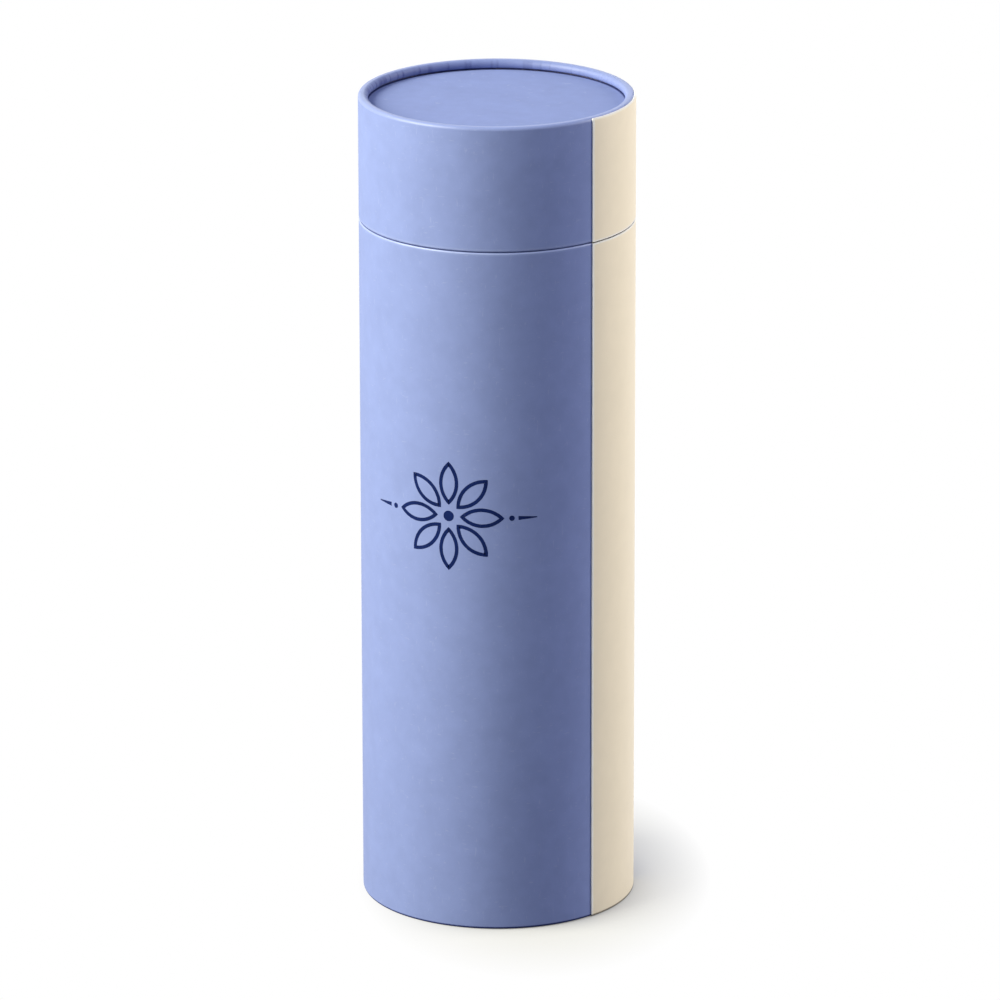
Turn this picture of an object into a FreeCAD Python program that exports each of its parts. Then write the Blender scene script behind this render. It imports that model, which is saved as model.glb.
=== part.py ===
# Cylindrical gift tube box with a flush lift-off lid.
#
# The base and the lid are wound-board tubes covered in blue paper. Each is closed by a board disc
# that sits behind a rolled edge: a round rim on top, a flattened curl at the foot. A narrower neck
# tube is glued inside the base, stands up past the seam, and the lid slides down over it until the
# two turned-in paper edges meet. A cream card stripe is glued up one side, across the seam.
#
# Frame: millimetres, +Z up along the tube's axis, origin at the centre of the foot.
# The front faces -Y, and the stripe is centred on +X.

import FreeCAD
import Part
import math
import os

# Driving dimensions: the outside
OUTER_RADIUS = 50.0  # outside of the blue paper
BASE_HEIGHT = 257.3  # from the foot to the seam
LID_HEIGHT = 46.1  # from the seam to the crown of the rolled rim

# Driving dimensions: wound board
LID_WALL = 1.8
NECK_WALL = 1.4
DISC_THICKNESS = 2.0

# Driving dimensions: paper and card
WRAP_THICKNESS = 0.25  # blue covering paper
LINER_THICKNESS = 0.2  # papers of the neck, linings and discs
STRIPE_THICKNESS = 0.3  # cream card
STRIPE_WIDTH = 46.2  # measured round the tube
WRAP_JOINT = 0.3  # gap where the two ends of a wrap meet, under the stripe

# Driving dimensions: rolled and turned edges of the board
RIM_OVERHANG = 1.2  # how far the rolled rim stands in past the lid's bore
RIM_SHOULDER = 1.0  # rounded outer side of the rim
RIM_FLAT = 0.5  # flat of the rim, between its two rounded sides
FOOT_OVERHANG = 0.65  # how far the foot curl stands in past the base's bore
FOOT_CORNER = 0.9  # each rounded side of the foot curl
SEAM_CORNER = 0.5  # board edges at the seam
NECK_CORNER = 0.2  # mouth of the neck
TUCK_SHORT = 10.0  # degrees by which a rolled-in paper edge stops short of the bore

# Clearances
GLUE_LINE = 0.05  # between bonded layers
STRIPE_GLUE = 0.1  # under the stripe
LID_CLEARANCE = 0.35  # radial, so that the lid slides on the neck
NECK_HEADROOM = 2.45  # between the neck's mouth and the lid's ceiling
LINING_SETBACK = 1.0  # linings stop this far short of a tube's mouth
STRIPE_FOOT_GAP = 0.3  # stripe above the floor
STRIPE_SEAM_GAP = 0.15  # each stripe short of the seam
STRIPE_RIM_DROP = 0.8  # stripe below the crown of the rim

# Thickness that covering paper and its glue add to a board face
WRAP_COVER = WRAP_THICKNESS + GLUE_LINE
LINER_COVER = LINER_THICKNESS + GLUE_LINE

# Radii, from the outside in
BOARD_RADIUS = OUTER_RADIUS - WRAP_COVER
LID_BORE = BOARD_RADIUS - LID_WALL
LID_LINING_INSIDE = LID_BORE - LINER_COVER
NECK_OUTSIDE = LID_LINING_INSIDE - LID_CLEARANCE
BASE_BORE = NECK_OUTSIDE + GLUE_LINE
NECK_BOARD_RADIUS = NECK_OUTSIDE - LINER_COVER
NECK_BORE = NECK_BOARD_RADIUS - NECK_WALL
STRIPE_INSIDE = OUTER_RADIUS + STRIPE_GLUE
STRIPE_OUTSIDE = STRIPE_INSIDE + STRIPE_THICKNESS

# Angles in degrees
QUARTER_TURN = 90.0
HALF_TURN = 180.0
FULL_TURN = 360.0
STRIPE_ANGLE = math.degrees(STRIPE_WIDTH / OUTER_RADIUS)
WRAP_ANGLE = FULL_TURN - math.degrees(WRAP_JOINT / OUTER_RADIUS)  # all round but for the joint
STRIPE_SIDE = 0.0  # the stripe's middle faces +X
WRAP_SIDE = HALF_TURN  # a wrap's middle faces -X, so that its joint is under the stripe

# Rolled rim of the lid: a bead that overhangs the bore and holds the disc down
CROWN = BASE_HEIGHT + LID_HEIGHT
RIM_TOP = CROWN - WRAP_COVER  # top of the rim's board
RIM_ROLL = LID_WALL + RIM_OVERHANG - RIM_SHOULDER - RIM_FLAT  # rounded inner side
SHOULDER_RADIUS = BOARD_RADIUS - RIM_SHOULDER
SHOULDER_HEIGHT = RIM_TOP - RIM_SHOULDER
ROLL_RADIUS = LID_BORE - RIM_OVERHANG + RIM_ROLL
ROLL_HEIGHT = RIM_TOP - RIM_ROLL

# Curl of the foot: two rounded sides with a flat between them that stands on the floor
FOOT_HEIGHT = WRAP_COVER + FOOT_CORNER
FOOT_OUTER_CENTRE = BOARD_RADIUS - FOOT_CORNER
FOOT_INNER_CENTRE = BASE_BORE - FOOT_OVERHANG + FOOT_CORNER

# Heights of the disc stacks, each a board disc with a paper on both faces
STACK_HEIGHT = DISC_THICKNESS + 2 * LINER_COVER
BASE_STACK_BOTTOM = 2 * (FOOT_CORNER + WRAP_COVER) + GLUE_LINE
FLOOR = BASE_STACK_BOTTOM + STACK_HEIGHT
LID_STACK_TOP = CROWN - 2 * (RIM_ROLL + WRAP_COVER) - GLUE_LINE
CEILING = LID_STACK_TOP - STACK_HEIGHT
NECK_FOOT = FLOOR + GLUE_LINE
NECK_TOP = CEILING - NECK_HEADROOM

UP = FreeCAD.Vector(0, 0, 1)
ORIGIN = FreeCAD.Vector(0, 0, 0)


class Section:
    """A closed section of a turned piece, drawn edge by edge in the plane of radius and height."""

    def __init__(self, radius, height):
        self.start = self.pen = FreeCAD.Vector(radius, 0, height)
        self.edges = []

    def line(self, radius, height):
        end = FreeCAD.Vector(radius, 0, height)
        self.edges.append(Part.LineSegment(self.pen, end).toShape())
        self.pen = end
        return self

    def arc(self, centre_radius, centre_height, turn):
        """Turns the pen about a centre by an angle in degrees, anticlockwise if positive."""
        centre = FreeCAD.Vector(centre_radius, 0, centre_height)
        spoke = self.pen - centre
        middle, end = (centre + swing(spoke, turn * share) for share in (0.5, 1.0))
        self.edges.append(Part.Arc(self.pen, middle, end).toShape())
        self.pen = end
        return self

    def turned(self, angle=FULL_TURN, side=HALF_TURN):
        """The solid that the section sweeps about the axis, with its middle facing a side."""
        closed = self.line(self.start.x, self.start.z)
        solid = Part.Face(Part.Wire(closed.edges)).revolve(ORIGIN, UP, angle)
        solid.rotate(ORIGIN, UP, side - angle / 2)
        return solid


def swing(spoke, degrees):
    """A vector of the section's plane, turned anticlockwise as seen with radius right and height up."""
    angle = math.radians(degrees)
    cosine, sine = math.cos(angle), math.sin(angle)
    return FreeCAD.Vector(
        spoke.x * cosine - spoke.z * sine, 0, spoke.x * sine + spoke.z * cosine
    )


def pipe(outside, inside, bottom, top):
    """A plain tube between two radii and two heights."""
    return Section(inside, bottom).line(outside, bottom).line(outside, top).line(inside, top).turned()


def disc(radius, bottom, top):
    return Part.makeCylinder(radius, top - bottom, FreeCAD.Vector(0, 0, bottom))


def roll_turn(roll, overhang):
    """Degrees that a rolled edge of this radius turns from its outside until it meets the bore."""
    return HALF_TURN + math.degrees(math.acos((roll - overhang) / roll))


def lid_tube():
    edge = BASE_HEIGHT + WRAP_COVER
    section = Section(LID_BORE, edge)
    section.line(BOARD_RADIUS - SEAM_CORNER, edge)
    section.arc(BOARD_RADIUS - SEAM_CORNER, edge + SEAM_CORNER, QUARTER_TURN)
    section.line(BOARD_RADIUS, SHOULDER_HEIGHT)
    section.arc(SHOULDER_RADIUS, SHOULDER_HEIGHT, QUARTER_TURN)
    section.line(ROLL_RADIUS, RIM_TOP)
    section.arc(ROLL_RADIUS, ROLL_HEIGHT, roll_turn(RIM_ROLL, RIM_OVERHANG) - QUARTER_TURN)
    return section.turned()


def lid_wrap():
    """Blue paper: turned in under the lid's mouth, up the outside and round the rolled rim."""
    corner_radius = BOARD_RADIUS - SEAM_CORNER
    corner_height = BASE_HEIGHT + WRAP_COVER + SEAM_CORNER
    turn = roll_turn(RIM_ROLL, RIM_OVERHANG) - TUCK_SHORT - QUARTER_TURN
    inside = OUTER_RADIUS - WRAP_THICKNESS
    section = Section(LID_BORE, BASE_HEIGHT)
    section.line(corner_radius, BASE_HEIGHT)
    section.arc(corner_radius, corner_height, QUARTER_TURN)
    section.line(OUTER_RADIUS, SHOULDER_HEIGHT)
    section.arc(SHOULDER_RADIUS, SHOULDER_HEIGHT, QUARTER_TURN)
    section.line(ROLL_RADIUS, CROWN)
    section.arc(ROLL_RADIUS, ROLL_HEIGHT, turn)
    tail = swing(FreeCAD.Vector(0, 0, RIM_ROLL + GLUE_LINE), turn)
    section.line(ROLL_RADIUS + tail.x, ROLL_HEIGHT + tail.z)
    section.arc(ROLL_RADIUS, ROLL_HEIGHT, -turn)
    section.line(SHOULDER_RADIUS, CROWN - WRAP_THICKNESS)
    section.arc(SHOULDER_RADIUS, SHOULDER_HEIGHT, -QUARTER_TURN)
    section.line(inside, corner_height)
    section.arc(corner_radius, corner_height, -QUARTER_TURN)
    section.line(LID_BORE, BASE_HEIGHT + WRAP_THICKNESS)
    return section.turned(WRAP_ANGLE, WRAP_SIDE)


def base_tube():
    edge = BASE_HEIGHT - WRAP_COVER
    section = Section(BASE_BORE, edge)
    section.line(BOARD_RADIUS - SEAM_CORNER, edge)
    section.arc(BOARD_RADIUS - SEAM_CORNER, edge - SEAM_CORNER, -QUARTER_TURN)
    section.line(BOARD_RADIUS, FOOT_HEIGHT)
    section.arc(FOOT_OUTER_CENTRE, FOOT_HEIGHT, -QUARTER_TURN)
    section.line(FOOT_INNER_CENTRE, WRAP_COVER)
    section.arc(FOOT_INNER_CENTRE, FOOT_HEIGHT, QUARTER_TURN - roll_turn(FOOT_CORNER, FOOT_OVERHANG))
    return section.turned()


def base_wrap():
    """Blue paper: turned in over the base's mouth, down the outside and round the foot curl."""
    corner_radius = BOARD_RADIUS - SEAM_CORNER
    corner_height = BASE_HEIGHT - WRAP_COVER - SEAM_CORNER
    turn = roll_turn(FOOT_CORNER, FOOT_OVERHANG) - TUCK_SHORT - QUARTER_TURN
    inside = OUTER_RADIUS - WRAP_THICKNESS
    section = Section(BASE_BORE, BASE_HEIGHT)
    section.line(corner_radius, BASE_HEIGHT)
    section.arc(corner_radius, corner_height, -QUARTER_TURN)
    section.line(OUTER_RADIUS, FOOT_HEIGHT)
    section.arc(FOOT_OUTER_CENTRE, FOOT_HEIGHT, -QUARTER_TURN)
    section.line(FOOT_INNER_CENTRE, 0)
    section.arc(FOOT_INNER_CENTRE, FOOT_HEIGHT, -turn)
    tail = swing(FreeCAD.Vector(0, 0, -FOOT_CORNER - GLUE_LINE), -turn)
    section.line(FOOT_INNER_CENTRE + tail.x, FOOT_HEIGHT + tail.z)
    section.arc(FOOT_INNER_CENTRE, FOOT_HEIGHT, turn)
    section.line(FOOT_OUTER_CENTRE, WRAP_THICKNESS)
    section.arc(FOOT_OUTER_CENTRE, FOOT_HEIGHT, QUARTER_TURN)
    section.line(inside, corner_height)
    section.arc(corner_radius, corner_height, QUARTER_TURN)
    section.line(BASE_BORE, BASE_HEIGHT - WRAP_THICKNESS)
    return section.turned(WRAP_ANGLE, WRAP_SIDE)


def neck_tube():
    edge = NECK_TOP - LINER_COVER
    section = Section(NECK_BORE, NECK_FOOT)
    section.line(NECK_BOARD_RADIUS, NECK_FOOT)
    section.line(NECK_BOARD_RADIUS, edge - NECK_CORNER)
    section.arc(NECK_BOARD_RADIUS - NECK_CORNER, edge - NECK_CORNER, QUARTER_TURN)
    section.line(NECK_BORE, edge)
    return section.turned()


def neck_wrap():
    """Cream paper: up the outside of the neck and turned in over its mouth."""
    inside = NECK_OUTSIDE - LINER_THICKNESS
    corner_radius = NECK_BOARD_RADIUS - NECK_CORNER
    corner_height = NECK_TOP - LINER_COVER - NECK_CORNER
    section = Section(inside, NECK_FOOT)
    section.line(NECK_OUTSIDE, NECK_FOOT)
    section.line(NECK_OUTSIDE, corner_height)
    section.arc(corner_radius, corner_height, QUARTER_TURN)
    section.line(NECK_BORE, NECK_TOP)
    section.line(NECK_BORE, NECK_TOP - LINER_THICKNESS)
    section.line(corner_radius, NECK_TOP - LINER_THICKNESS)
    section.arc(corner_radius, corner_height, -QUARTER_TURN)
    return section.turned()


def lining(bore, bottom, top):
    """Paper that lines a bore between two heights."""
    return pipe(bore - GLUE_LINE, bore - LINER_COVER, bottom, top)


def disc_stack(radius, bottom):
    """A board disc and the papers under and over it, from the bottom up."""
    board = bottom + LINER_COVER
    over = board + DISC_THICKNESS + GLUE_LINE
    return (
        disc(radius, bottom, bottom + LINER_THICKNESS),
        disc(radius, board, board + DISC_THICKNESS),
        disc(radius, over, over + LINER_THICKNESS),
    )


def stripe(bottom, top):
    """Cream card bent round the tube, centred on +X."""
    section = Section(STRIPE_INSIDE, bottom)
    section.line(STRIPE_OUTSIDE, bottom).line(STRIPE_OUTSIDE, top).line(STRIPE_INSIDE, top)
    return section.turned(STRIPE_ANGLE, STRIPE_SIDE)


def build():
    """Every piece of the box, by name."""
    under_paper, base_disc, floor_paper = disc_stack(BASE_BORE - GLUE_LINE, BASE_STACK_BOTTOM)
    ceiling_paper, lid_disc, top_paper = disc_stack(LID_BORE - GLUE_LINE, CEILING)
    return {
        "base_tube": base_tube(),
        "base_wrap": base_wrap(),
        "base_stripe": stripe(STRIPE_FOOT_GAP, BASE_HEIGHT - STRIPE_SEAM_GAP),
        "base_disc": base_disc,
        "base_under_paper": under_paper,
        "base_floor_paper": floor_paper,
        "neck_tube": neck_tube(),
        "neck_wrap": neck_wrap(),
        "neck_lining": lining(NECK_BORE, NECK_FOOT, NECK_TOP - LINING_SETBACK),
        "lid_tube": lid_tube(),
        "lid_wrap": lid_wrap(),
        "lid_stripe": stripe(BASE_HEIGHT + STRIPE_SEAM_GAP, CROWN - STRIPE_RIM_DROP),
        "lid_disc": lid_disc,
        "lid_top_paper": top_paper,
        "lid_ceiling_paper": ceiling_paper,
        "lid_lining": lining(LID_BORE, BASE_HEIGHT + LINING_SETBACK, CEILING - GLUE_LINE),
    }


def main():
    os.makedirs("parts", exist_ok=True)
    for name, solid in build().items():
        solid.exportStep(os.path.join("parts", name + ".step"))
        box = solid.BoundBox
        print(
            f"{name:18s} valid {solid.isValid()}  volume {solid.Volume:10.1f} mm3"
            f"  height {box.ZMin:7.2f} to {box.ZMax:7.2f}  width {box.XLength:7.2f}"
        )


main()
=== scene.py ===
# %% [markdown]
# # A paper-covered gift tube, piece by piece
#
# This lesson dresses a round gift box: two tubes of wound board covered in blue paper, a narrower
# neck inside, a lid that lifts off, and a cream card stripe up one side. The board, the discs and
# the fits come from the engineering model, which is loaded as a fixed frame. Everything that the
# eye meets is paper, so most pieces here are sheets of paper with a real thickness.

# %% Load the frame
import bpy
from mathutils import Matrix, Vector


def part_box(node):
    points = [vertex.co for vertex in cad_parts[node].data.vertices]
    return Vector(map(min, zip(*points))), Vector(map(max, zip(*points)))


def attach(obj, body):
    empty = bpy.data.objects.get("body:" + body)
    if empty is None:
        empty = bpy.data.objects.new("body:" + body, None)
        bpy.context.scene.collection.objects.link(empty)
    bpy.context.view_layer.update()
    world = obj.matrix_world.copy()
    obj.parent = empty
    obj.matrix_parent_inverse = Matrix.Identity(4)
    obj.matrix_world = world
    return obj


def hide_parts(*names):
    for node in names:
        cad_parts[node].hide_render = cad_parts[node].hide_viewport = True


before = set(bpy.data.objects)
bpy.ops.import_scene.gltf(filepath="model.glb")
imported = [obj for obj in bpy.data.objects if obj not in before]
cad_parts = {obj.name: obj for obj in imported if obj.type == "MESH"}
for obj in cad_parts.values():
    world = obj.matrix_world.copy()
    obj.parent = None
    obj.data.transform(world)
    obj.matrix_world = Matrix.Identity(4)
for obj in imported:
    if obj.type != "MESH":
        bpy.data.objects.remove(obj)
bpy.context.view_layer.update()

# %% [markdown]
# ## Sizes come from the frame
#
# A paper has to lie exactly on the board that it is glued to. Typing the sizes again would let
# the two drift apart, so every radius and height is read from the loaded solids. Only what a
# solid's corners can't tell, such as the thickness of a sheet, is written here.

# %% Read the sizes
import math
from collections import namedtuple

import bmesh
import bpy
from mathutils import Matrix, Vector, noise

MM = 0.001
HAIR = 0.002 * MM
QUARTER, HALF_TURN, FULL_TURN = 90.0, 180.0, 360.0


def radii(node, height=None):
    """Least and greatest distance of a solid's corners from the axis, in all or at one height."""
    corners = [corner.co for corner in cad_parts[node].data.vertices]
    reach = [c.xy.length for c in corners if height is None or abs(c.z - height) < HAIR]
    return min(reach), max(reach)


def heights(node):
    """Least and greatest height of a solid."""
    low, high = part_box(node)
    return low.z, high.z


GLUE = 0.05 * MM
WRAP = 0.25 * MM
LINER = 0.2 * MM
TUBE = radii("base_wrap")[1]
SEAM = heights("base_wrap")[1]
CROWN = heights("lid_wrap")[1]
print(f"tube {TUBE / MM:.2f} mm in radius, seam at {SEAM / MM:.1f} mm, crown at {CROWN / MM:.1f} mm")

# %% [markdown]
# ## Small helpers for shader nodes
#
# A finish is a network of nodes. A few short functions keep the networks readable: they add a node
# and fill or link its sockets by name, mix colours, or lay noise over a piece. The noise is laid
# out in the piece's own coordinates, so it stays on the piece when the lid is lifted.

# %% Node helpers
def link(tree, socket, value):
    """Fills a socket with a number or a colour, or links another node's output to it."""
    if isinstance(value, bpy.types.NodeSocket):
        tree.links.new(value, socket)
    else:
        socket.default_value = value


def fill(tree, sockets, **values):
    """Fills or links sockets by name. An underscore stands for a space in a socket's name."""
    for name, value in values.items():
        link(tree, sockets[name.replace("_", " ")], value)


def add(tree, kind, **values):
    """Adds a node of a kind, with values for its sockets."""
    node = tree.nodes.new("ShaderNode" + kind)
    fill(tree, node.inputs, **values)
    return node


def compute(tree, operation, *values):
    """Adds a Math node and returns its result."""
    node = add(tree, "Math")
    node.operation = operation
    for socket, value in zip(node.inputs, values):
        link(tree, socket, value)
    return node.outputs[0]


print("nodes of Blender", bpy.app.version_string)

# %% Colour and noise helpers
EVEN = (1.0, 1.0, 1.0)


def blend(tree, share, first, second, way="MIX"):
    """Mixes two colours."""
    node = add(tree, "Mix")
    node.data_type = "RGBA"
    node.blend_type = way
    sockets = [socket for socket in node.inputs if socket.enabled]
    for socket, value in zip(sockets, (share, first, second)):
        link(tree, socket, value)
    return next(socket for socket in node.outputs if socket.enabled)


def spread(tree, value, low, high, to_low=0.0, to_high=1.0):
    """Stretches a value from one range to another, and holds it at the ends."""
    node = add(tree, "MapRange", Value=value, From_Min=low, From_Max=high, To_Min=to_low, To_Max=to_high)
    return node.outputs["Result"]


def grain(tree, scale, detail=2.0, stretch=EVEN):
    """Noise on the piece's own coordinates, in cells per metre.

    A stretch below 1 draws the cells out along that axis.
    """
    spot = add(tree, "TexCoord").outputs["Object"]
    if stretch != EVEN:
        spot = add(tree, "Mapping", Vector=spot, Scale=stretch).outputs["Vector"]
    return add(tree, "TexNoise", Vector=spot, Scale=scale, Detail=detail).outputs["Fac"]


print(f"noise of {1 / MM:.0f} cells per metre has cells 1 mm wide")

# %% [markdown]
# ## What every paper shares: clouds, fibres, pale marks and painted shade
#
# Coloured paper is never one flat colour. Held to the light it is cloudy, because the fibres lie
# thicker in some places. Close up it has a felt of fibres that breaks the light, and a few pale and
# dark flecks. Where it is folded over an edge, handling rubs the dye off. A picture of paper could
# show all that, but it would have seams and a fixed size. So two node groups draw clouds and fibres
# from noise, and a third one reads two marks on the mesh: a paler tone, which is scuffing in some
# places and a painted highlight in others, and a darker tone, which is painted shade in crevices,
# creases, grooves and at the foot. A group is the right home for an effect that several papers
# share, because each paper can place it with its own values.

# %% Paper clouds
NUMBER, COLOUR = "NodeSocketFloat", "NodeSocketColor"
WHITE, BLACK = (1, 1, 1, 1), (0, 0, 0, 1)
WIDE_CLOUDS, CLOSE_CLOUDS = 60.0, 190.0
PALE_SPECKS, PALE_FIBRES, DARK_SPECKS = 2100.0, 1500.0, 1750.0
UPRIGHT_FIBRES, LEVEL_FIBRES = (1.0, 1.0, 0.2), (0.25, 0.25, 1.0)
# The part of the noise's range that clouds, pale specks and dark specks are cut from.
CLOUDS_CUT, PALE_CUT, DARK_CUT = (0.3, 0.7), (0.70, 0.76), (0.71, 0.77)


def new_group(name, inputs, outputs):
    """A shader group with named sockets: returns its tree and what comes in and goes out inside it."""
    tree = bpy.data.node_groups.new(name, "ShaderNodeTree")
    for way, sockets in (("INPUT", inputs), ("OUTPUT", outputs)):
        for label, kind in sockets.items():
            tree.interface.new_socket(label, in_out=way, socket_type=kind)
    entry = tree.nodes.new("NodeGroupInput")
    leave = tree.nodes.new("NodeGroupOutput")
    return tree, entry.outputs, leave.inputs


def make_clouds():
    """Light and dark clouds, pale specks and fibres, and dark specks."""
    inputs = {"Color": COLOUR, "Cloud": NUMBER, "Fleck": NUMBER}
    tree, given, out = new_group("paper_clouds", inputs, {"Color": COLOUR})
    wide = spread(tree, grain(tree, WIDE_CLOUDS), *CLOUDS_CUT, -1.0, 1.0)
    close = spread(tree, grain(tree, CLOSE_CLOUDS), *CLOUDS_CUT, -1.0, 1.0)
    cloud = compute(tree, "ADD", close, wide)
    shade = compute(tree, "MULTIPLY_ADD", cloud, given["Cloud"], 1.0)
    grey = add(tree, "CombineColor", Red=shade, Green=shade, Blue=shade).outputs["Color"]
    colour = blend(tree, 1.0, given["Color"], grey, "MULTIPLY")
    pale = spread(tree, grain(tree, PALE_SPECKS, detail=1.0), *PALE_CUT)
    for stretch in (UPRIGHT_FIBRES, LEVEL_FIBRES):
        fibres = spread(tree, grain(tree, PALE_FIBRES, detail=1.0, stretch=stretch), *PALE_CUT)
        pale = compute(tree, "MAXIMUM", pale, fibres)
    dark = spread(tree, grain(tree, DARK_SPECKS, detail=1.0), *DARK_CUT)
    for specks, tone in ((pale, WHITE), (dark, BLACK)):
        colour = blend(tree, compute(tree, "MULTIPLY", specks, given["Fleck"]), colour, tone)
    link(tree, out["Color"], colour)
    return tree


PAPER_CLOUDS = make_clouds()
print("group", PAPER_CLOUDS.name, len(PAPER_CLOUDS.nodes), "nodes")

# %% Paper fibres
FELT, STRANDS, WAVES = 1400.0, 900.0, 120.0
UPRIGHT_STRANDS, LEVEL_STRANDS = (1.0, 1.0, 0.22), (0.3, 0.3, 1.0)
STRAND_HEIGHT, WAVE_HEIGHT = 0.6, 1.5
FELT_ROUGHENS, MIDDLE_ROUGH, ROUGH_SWING = 0.6, 0.8, 0.08


def make_fibres():
    """A felt of fibres: the height of its relief, and a roughness that swings with it."""
    outputs = {"Height": NUMBER, "Roughness": NUMBER}
    tree, given, out = new_group("paper_fibres", {"Rough": NUMBER}, outputs)
    felt = grain(tree, FELT, detail=4.0)
    along = grain(tree, STRANDS, stretch=UPRIGHT_STRANDS)
    around = grain(tree, STRANDS, stretch=LEVEL_STRANDS)
    strands = compute(tree, "MAXIMUM", along, around)
    waves = grain(tree, WAVES, detail=1.0)
    height = compute(tree, "MULTIPLY_ADD", strands, STRAND_HEIGHT, felt)
    link(tree, out["Height"], compute(tree, "MULTIPLY_ADD", waves, WAVE_HEIGHT, height))
    both = compute(tree, "MULTIPLY_ADD", felt, FELT_ROUGHENS, strands)
    swing = compute(tree, "SUBTRACT", both, MIDDLE_ROUGH)
    link(tree, out["Roughness"], compute(tree, "MULTIPLY_ADD", swing, ROUGH_SWING, given["Rough"]))
    return tree


PAPER_FIBRES = make_fibres()
print("group", PAPER_FIBRES.name, len(PAPER_FIBRES.nodes), "nodes")

# %% Pale marks and painted shade
PATCHES, PATCHES_CUT, PATCHES_LEAST = 260.0, (0.25, 0.65), 0.55
PAINTED_SHADE_DULLS = 0.45


def read_mark(tree, layer, amount):
    """How much of a mark shows: what the mesh holds in that layer, times an amount."""
    node = add(tree, "Attribute")
    node.attribute_name = layer
    return compute(tree, "MULTIPLY", node.outputs["Fac"], amount)


def make_scuff_highlight_shade():
    """Paler in patches at the pale mark, partly scuffing and partly painted highlight; darker at painted
    shade.
    """
    tones = {"Color": COLOUR, "ScuffHighlightTone": COLOUR, "ShadeTone": COLOUR}
    amounts = {"ScuffHighlight": NUMBER, "ShadeAmount": NUMBER, "Roughness": NUMBER}
    outputs = {"Color": COLOUR, "Roughness": NUMBER}
    tree, given, out = new_group("scuff_highlight_and_shade", {**tones, **amounts}, outputs)
    patches = spread(tree, grain(tree, PATCHES, detail=4.0), *PATCHES_CUT, PATCHES_LEAST, 1.0)
    # The pale mark is scuffing in some places and a painted highlight in others; the dark mark is painted
    # shade.
    scuff_highlight_share = compute(tree, "MULTIPLY", read_mark(tree, "scuff_and_highlight", given["ScuffHighlight"]), patches)
    shaded = read_mark(tree, "painted_shade", given["ShadeAmount"])
    colour = blend(tree, scuff_highlight_share, given["Color"], given["ScuffHighlightTone"])
    link(tree, out["Color"], blend(tree, shaded, colour, given["ShadeTone"]))
    link(tree, out["Roughness"], compute(tree, "MULTIPLY_ADD", shaded, PAINTED_SHADE_DULLS, given["Roughness"]))
    return tree


SCUFF_HIGHLIGHT_SHADE = make_scuff_highlight_shade()
print("group", SCUFF_HIGHLIGHT_SHADE.name, len(SCUFF_HIGHLIGHT_SHADE.nodes), "nodes")

# %% [markdown]
# ## The finishes of paper and card
#
# The covering paper is a matte periwinkle blue. Where the rolling tool pressed it, on the rim and
# on the lip at the seam, the same paper is smoother and shines, so it has a second finish there.
# The stripe is a smooth cream card whose cut edges show the whiter core, and the linings are a
# thinner cream paper. All of them are dielectric and rough and differ only in their values, so one
# function makes them all.

# %% Paper finish
PAPER_GLOSS = 0.05
PAPER_SHEEN = 0.02
PAPER_RELIEF, RELIEF_STRENGTH = 0.012 * MM, 0.6
PAINTED_SHADE_DARKENS = 0.9


def new_finish(name):
    """A material with a Principled shader: returns it, its tree and the shader's sockets."""
    material = bpy.data.materials.new(name)
    material.use_nodes = True
    tree = material.node_tree
    print("finish", name)
    return material, tree, tree.nodes["Principled BSDF"].inputs


def place_group(tree, group, **values):
    """Places a group in a finish, with values for its sockets, and returns its outputs."""
    node = tree.nodes.new("ShaderNodeGroup")
    node.node_tree = group
    fill(tree, node.inputs, **values)
    return node.outputs


def relief(tree, height, strength, distance):
    """Turns the height of a felt of fibres into a normal."""
    bump = add(tree, "Bump", Height=height, Strength=strength, Distance=distance)
    return bump.outputs["Normal"]


def paper(name, colour, scuff_highlight_tone, shaded, rough, cloud=0.025, fleck=0.05, scuff_highlight=0.8, gloss=PAPER_GLOSS):
    """A paper finish: clouded colour, scuffs and painted highlights, painted shade, and fibres in
    roughness and relief.
    """
    material, tree, shader = new_finish(name)
    clouded = place_group(tree, PAPER_CLOUDS, Color=(*colour, 1), Cloud=cloud, Fleck=fleck)
    fibres = place_group(tree, PAPER_FIBRES, Rough=rough)
    plain = {"Color": clouded["Color"], "Roughness": fibres["Roughness"]}
    tones = {"ScuffHighlightTone": (*scuff_highlight_tone, 1), "ShadeTone": (*shaded, 1), "ScuffHighlight": scuff_highlight, "ShadeAmount": PAINTED_SHADE_DARKENS}
    marked = place_group(tree, SCUFF_HIGHLIGHT_SHADE, **plain, **tones)
    normal = relief(tree, fibres["Height"], RELIEF_STRENGTH, PAPER_RELIEF)
    fill(tree, shader, Base_Color=marked["Color"], Roughness=marked["Roughness"], Normal=normal)
    fill(tree, shader, Specular_IOR_Level=gloss, Sheen_Weight=PAPER_SHEEN)
    return material


# The pale blue is scuffing and a painted highlight on edges; the near-black blue is painted shade.
BLUE, BLUE_SCUFF_AND_HIGHLIGHT, BLUE_PAINTED_SHADE = (0.248, 0.306, 0.60), (0.56, 0.65, 0.95), (0.004, 0.012, 0.13)
BLUE_TONES = (BLUE, BLUE_SCUFF_AND_HIGHLIGHT, BLUE_PAINTED_SHADE)
BLUE_PAPER = paper("blue_paper", *BLUE_TONES, rough=0.58)
PRESSED_PAPER = paper("pressed_paper", *BLUE_TONES, rough=0.38, gloss=0.42)

# %% Card and lining finishes
# CARD_PAINTED_SHADE is painted shade, at the stripe's foot and in the gap between the stripes.
CREAM, CARD_CORE_AND_HIGHLIGHT, CARD_PAINTED_SHADE = (0.955, 0.84, 0.65), (1.0, 0.99, 0.96), (0.06, 0.05, 0.03)
CORE = (0.97, 0.95, 0.90)
# GAP_SHADE_BROWN is painted shade for the gap between the stripes, brown like card in shadow.
GAP_SHADE_BROWN = (0.3, 0.26, 0.17)
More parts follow.
